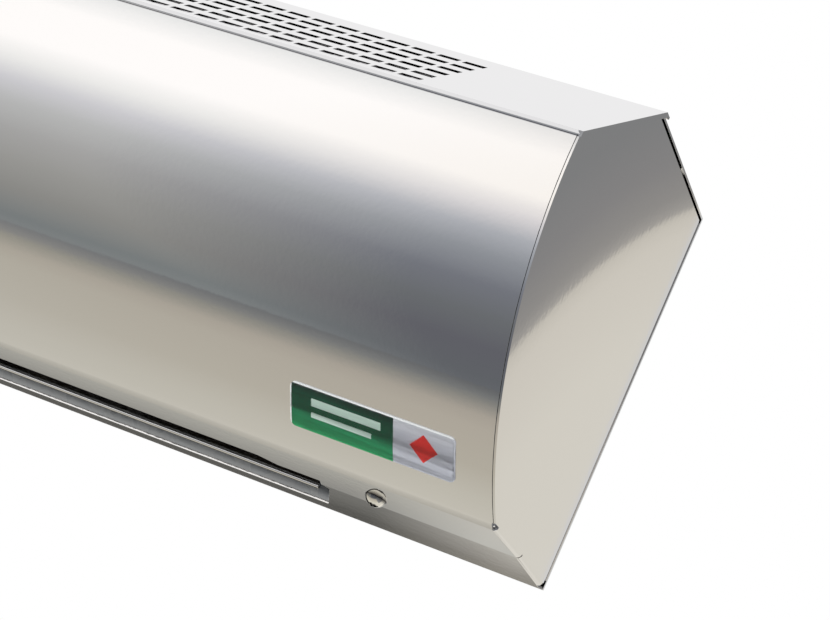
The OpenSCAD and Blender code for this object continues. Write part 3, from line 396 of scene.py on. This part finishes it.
def smooth_copy(node, broken=0.0, folded=None):
    """A CAD node shaded smooth over its curves, with its sharp edges broken by a small radius. Folded is the
    place of a long edge along x, by its y and z, and the radius of the fold there."""
    bm = bmesh.new()
    bm.from_mesh(frame["nodes"][node].data)
    bmesh.ops.remove_doubles(bm, verts=bm.verts, dist=1e-6)
    bmesh.ops.dissolve_limit(bm, angle_limit=math.radians(0.05), verts=bm.verts, edges=bm.edges,
                             use_dissolve_boundaries=False)
    if folded:
        y, z, radius = folded
        near = 0.0002
        fold = [edge for edge in bm.edges if abs(edge.verts[0].co.x - edge.verts[1].co.x) > 1.75 * half
                and all(abs(v.co.y - y) < near and abs(v.co.z - z) < near for v in edge.verts)]
        bmesh.ops.bevel(bm, geom=fold, offset=radius, affect="EDGES", segments=5, profile=0.5, material=-1)
    piece = mesh_piece(node + "_finished", bm, node)
    if broken:
        edge = piece.modifiers.new("broken_edges", "BEVEL")
        edge.width = broken
        edge.segments = 2
        edge.limit_method = "ANGLE"
        edge.angle_limit = math.radians(40)
        edge.harden_normals = True


# The grille's front lip is rolled over at 1.5 mm. The other radii are those of a sheared or moulded edge.
smooth_copy("intake_grille", 0.0001, folded=(-0.13639, 0.06921, 0.0015))
for node, broken in (
    ("front_panel", 0.00015), ("back_plate", 0.0002),
    ("end_plate_left", 0.0002), ("end_plate_right", 0.0002), ("front_screws", 0.0003), ("outlet_vane", 0.00015),
    ("badge_film", 0.0), ("badge_dome", 0.0004),
):
    smooth_copy(node, broken)

# The flanges of each end plate are closed behind the relief at the lower front corner.
backing_size = Vector((0.0026, 0.0036, 0.0030))
for hand, side in (("left", -1), ("right", 1)):
    backing = bmesh.new()
    middle = Matrix.Translation((side * (half - 0.0024), -0.0628, back_low + 0.0107))
    bmesh.ops.create_cube(backing, size=1.0, matrix=middle @ Matrix.Diagonal(backing_size).to_4x4())
    mesh_piece("corner_backing_" + hand, backing, "end_plate_" + hand)


# ---------------------------------------------------------------- the studio

def card(name, corners, paint, strength=1.0):
    """A flat sheet of the studio that only reflections see. Its corners are given in order, and paint is the
    function that gives its colour."""
    bm = bmesh.new()
    bm.faces.new([bm.verts.new(corner) for corner in corners])
    mesh = bpy.data.meshes.new(name)
    bm.to_mesh(mesh)
    bm.free()
    sheet = bpy.data.objects.new(name, mesh)
    scene.collection.objects.link(sheet)
    made = bpy.data.materials.new(name)
    made.use_nodes = True
    tree = made.node_tree
    tree.nodes.clear()
    where = add(tree, "TexCoord", out="Object")
    axes = add(tree, "SeparateXYZ", {"Vector": where}, out=None).outputs
    light = add(tree, "Emission", {"Color": paint(tree, where, axes), "Strength": strength})
    add(tree, "OutputMaterial", {"Surface": light}, out=None)
    mesh.materials.append(made)
    for ray in ("camera", "diffuse", "transmission", "volume_scatter", "shadow"):
        setattr(sheet, "visible_" + ray, False)


def graded(tree, value, *stops):
    """A colour that follows a measure in metres; each stop is a measure and a colour."""
    low, high = stops[0][0], stops[-1][0]
    share = add(tree, "MapRange", {"Value": value, "From Min": low, "From Max": high})
    return add(tree, "ValToRGB", {"Fac": share},
               stops=[((measure - low) / (high - low), colour) for measure, colour in stops])


def across(tree, value, start, stop, first, second):
    """The first colour at one measure and the second at another, with a soft change between them."""
    share = add(tree, "MapRange", {"Value": value, "From Min": start, "From Max": stop})
    return add(tree, "Mix", {"Factor": share, 6: first, 7: second}, out=2, data_type="RGBA")


def room(tree, where, axes):
    """The room in front of the unit: a broad softbox at eye height over a dim floor, lighter to the left."""
    near = graded(tree, axes["Z"], (-6.5, "#6a6c6e"), (-4.67, "#64676b"), (-3.97, "#5f6266"), (-2.91, "#5f6066"),
                  (-2.14, "#686b6e"), (-1.51, "#72757c"), (-0.98, "#8e9297"), (-0.62, "#aaadb2"),
                  (-0.28, "#d8d5d5"), (0.06, "#f7f3ec"), (0.73, "#f7f3ec"), (0.97, "#e3dfdb"),
                  (1.22, "#a4a5a7"), (1.5, "#848688"))
    far = graded(tree, axes["Z"], (-6.5, "#848686"), (-4.67, "#808484"), (-3.97, "#777c7c"), (-2.91, "#8a8a86"),
                 (-2.14, "#979793"), (-1.51, "#a4a4a2"), (-0.98, "#b6b7b6"), (-0.62, "#cbcbce"),
                 (-0.28, "#ebebe8"), (0.06, "#fffdfa"), (0.73, "#fffdfa"), (0.97, "#e7e8e6"),
                 (1.22, "#a4a5a7"), (1.5, "#848688"))
    # The line of sight slants, so the left of the unit mirrors a strip that leans to the left as it goes down.
    lean = add(tree, "VectorMath", {0: where, 1: (1, 0, -0.3)}, out="Value", operation="DOT_PRODUCT")
    return across(tree, lean, -0.97, -1.65, near, far)


def shaded(tree, axes, colour):
    """The table's colour with the unit's own shade laid on it, from under its front to behind its wall side."""
    depth = 1.0
    for axis, light, dark in (("X", 0.37, 0.33), ("Y", -0.03, 0.03), ("Y", 0.30, 0.26)):
        share = add(tree, "MapRange", {"Value": axes[axis], "From Min": light, "From Max": dark})
        depth = add(tree, "Math", {0: depth, 1: share}, operation="MULTIPLY")
    return add(tree, "Mix", {"Factor": depth, 6: colour, 7: linear("#1c1c1b")}, out=2, data_type="RGBA")


def table(tree, where, axes):
    """The warm table in front of the unit, which the lower third of the curved front mirrors, and the
    unit's own shade on it, which the screw head mirrors."""
    near = graded(tree, axes["Y"], (-0.285, "#6e7072"), (-0.264, "#828483"), (-0.249, "#96958e"),
                  (-0.22, "#bab3a6"), (-0.193, "#c2bbad"), (-0.12, "#c6c0b1"), (-0.06, "#d4d0c2"),
                  (-0.03, "#dbd7ca"))
    far = graded(tree, axes["Y"], (-0.285, "#8f9191"), (-0.264, "#9d9c98"), (-0.249, "#afac9e"),
                 (-0.22, "#c2bcae"), (-0.193, "#c7c3b5"), (-0.1, "#cfcbbf"), (-0.03, "#d2cfc3"))
    return shaded(tree, axes, across(tree, axes["X"], 0.24, -0.25, near, far))


def table_behind(tree, where, axes):
    """The table behind the unit, in its shade: what the underside mirrors, lightest at the right end."""
    near = graded(tree, axes["Y"], (0.30, "#efebe0"), (0.44, "#ece8dc"), (0.473, "#bab7ae"), (0.485, "#aeaaa2"),
                  (0.493, "#9c9890"), (0.50, "#8c887e"), (0.53, "#a8a69e"), (0.565, "#d2cfc6"),
                  (0.604, "#c9c8c0"), (0.62, "#c5c4bd"))
    far = graded(tree, axes["Y"], (0.30, "#858480"), (0.473, "#7f7e79"), (0.485, "#72716c"), (0.493, "#64635f"),
                 (0.50, "#464541"), (0.53, "#8f8e89"), (0.565, "#bcbab0"), (0.573, "#b9b7ae"),
                 (0.582, "#abaaa2"), (0.591, "#a09e97"), (0.605, "#969590"), (0.62, "#908f8a"))
    slant = add(tree, "VectorMath", {0: where, 1: (1, 0.65, 0)}, out="Value", operation="DOT_PRODUCT")
    return shaded(tree, axes, across(tree, slant, 0.4516, 0.3466, near, far))


def beside(tree, where, axes):
    """Beside the end plate: a warm pale wall under the round edge of a dark flag."""
    edge = 0.3759
    reach = add(tree, "VectorMath", {0: where, 1: (side_x, 0.3635, -0.1846)}, out="Value", operation="DISTANCE")
    return graded(tree, reach, (0.0, "#ece9de"), (edge - 0.2, "#eae7dc"), (edge - 0.06, "#e8e4d8"),
                  (edge - 0.012, "#e2ddd1"), (edge - 0.0012, "#d9d4c8"), (edge + 0.0012, "#aeaba5"),
                  (edge + 0.010, "#9d9b97"), (edge + 0.03, "#929190"), (edge + 0.06, "#8b8c8c"),
                  (edge + 0.3, "#888b8c"))


def behind(tree, where, axes):
    """The room behind the unit, seen in its back plate from other sides."""
    return graded(tree, axes["Z"], (-3.0, "#777a7d"), (-0.6, "#a9abad"), (0.1, "#e6e6e5"), (1.4, "#d8dadb"))


side_x = 0.48
table_z = -0.30
table_front, table_middle, table_rear = -0.285, 0.2, 1.2
floor_z = -0.45
card("room_card", [(-6, -3, -6.5), (4, -3, -6.5), (4, -3, 1.5), (-6, -3, 1.5)], room, 1.3)
for name, front, rear, paint in (("table_card", table_front, table_middle, table),
                                 ("rear_table_card", table_middle, table_rear, table_behind)):
    card(name, [(-3, front, table_z), (1.6, front, table_z), (1.6, rear, table_z), (-3, rear, table_z)], paint)
card("side_card", [(side_x, -0.3, -0.4), (side_x, 0.17, -0.4), (side_x, 0.17, 0.5), (side_x, -0.3, 0.5)], beside)
card("rear_card", [(-5, 3, -3.0), (5, 3, -3.0), (5, 3, 1.4), (-5, 3, 1.4)], behind)

floor_mesh = bmesh.new()
bmesh.ops.create_grid(floor_mesh, x_segments=1, y_segments=1, size=6, matrix=Matrix.Translation((0, 0, floor_z)))
floor_data = bpy.data.meshes.new("floor")
floor_mesh.to_mesh(floor_data)
floor_mesh.free()
floor_data.materials.append(material("pale_floor", Base_Color=linear("#e8e8e6"), Roughness=0.9)[0])
floor = bpy.data.objects.new("floor", floor_data)
scene.collection.objects.link(floor)
floor.visible_glossy = False

# White where the camera looks past the unit and where metal or resin mirrors it, and soft light on the rest.
world = bpy.data.worlds.new("studio")
scene.world = world
world.use_nodes = True
tree = world.node_tree
tree.nodes.clear()
rays = add(tree, "LightPath", out=None).outputs
seen = rays["Is Camera Ray"]
for ray in ("Is Glossy Ray", "Is Transmission Ray"):
    seen = add(tree, "Math", {0: seen, 1: rays[ray]}, operation="MAXIMUM")
soft = add(tree, "Background", {"Color": linear("#eef0f3"), "Strength": 1.1})
white = add(tree, "Background", {"Color": linear("#ffffff"), "Strength": 1.0})
both = add(tree, "MixShader", {0: seen, 1: soft, 2: white})
add(tree, "OutputWorld", {"Surface": both}, out=None)


def softbox(name, where, aim, size, power):
    """A soft lamp that lights the unit and doesn't show in its metal; power is in watts."""
    lamp = bpy.data.lights.new(name, "AREA")
    lamp.shape = "RECTANGLE"
    lamp.size, lamp.size_y = size
    lamp.energy = power
    made = bpy.data.objects.new(name, lamp)
    scene.collection.objects.link(made)
    made.location = where
    made.rotation_euler = (Vector(aim) - Vector(where)).to_track_quat("-Z", "Y").to_euler()
    made.visible_glossy = False
    made.visible_camera = False


softbox("key_softbox", (-1.2, -2.4, 1.4), (0.1, -0.05, 0.0), (1.6, 1.2), 26)
softbox("fill_softbox", (1.9, -1.2, 0.3), (0.3, -0.05, 0.0), (1.2, 1.2), 9)
softbox("top_softbox", (0.2, 0.4, 1.9), (0.1, -0.05, 0.0), (1.6, 1.0), 16)

# The camera's right, up and backward directions, its place, and its lens in millimetres on a 36 mm sensor.
right = Vector((0.83369, 0.38011, 0.40060))
up = Vector((-0.28084, -0.33277, 0.90022))
back = Vector((0.47549, -0.86301, -0.17068))
camera_data = bpy.data.cameras.new("camera")
camera_data.sensor_width = 36
camera_data.lens = 130.12
camera = bpy.data.objects.new("camera", camera_data)
scene.collection.objects.link(camera)
turn = Matrix((right, up, back)).transposed().to_4x4()
camera.matrix_world = Matrix.Translation((0.9138, -1.1312, -0.2148)) @ turn
scene.camera = camera
scene.view_settings.view_transform = "Standard"
